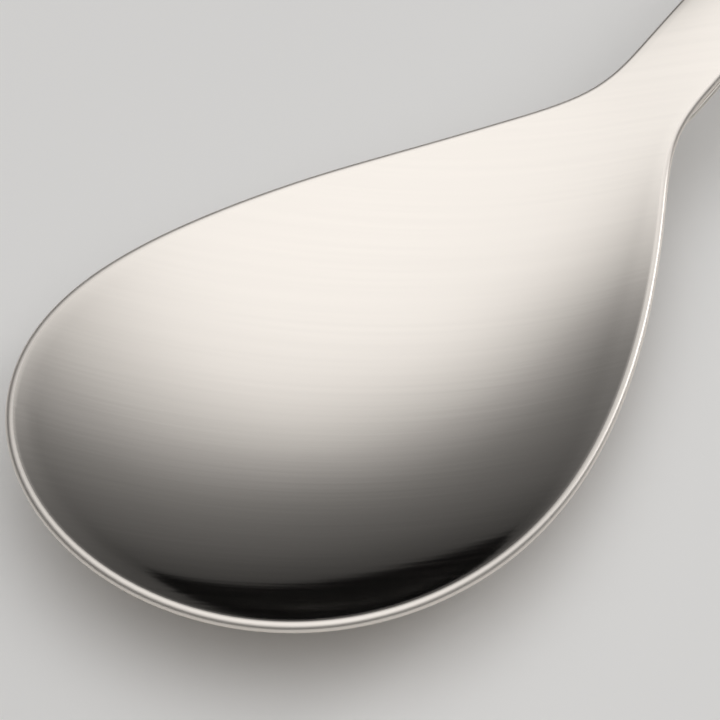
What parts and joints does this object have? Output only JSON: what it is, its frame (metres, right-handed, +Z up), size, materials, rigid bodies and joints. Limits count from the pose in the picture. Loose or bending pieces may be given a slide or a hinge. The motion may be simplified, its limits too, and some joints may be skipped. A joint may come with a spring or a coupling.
{
  "type": "rice serving spoon",
  "caption": "Steel rice serving spoon: wide shallow egg-shaped bowl with a rounded rim, slim rising neck and an arched hollow handle with an eyeleted hanging hole.",
  "frame": {"origin": "on the table, under the middle of the spoon's length, on its plane of symmetry", "axes": "+X along the spoon from the tip of the bowl to the hanging end, +Z up from the table, +Y across"},
  "size_m": [0.24, 0.068, 0.0206],
  "materials": {
    "polished_steel": "polished, with fine hairlines",
    "back_steel": "polished, with fine hairlines",
    "eyelet_steel": "polished"
  },
  "bodies": {
    "root": {"bowl_pressing": "polished_steel", "handle_back": "back_steel", "hang_eyelet": "eyelet_steel"}
  },
  "joints": []
}
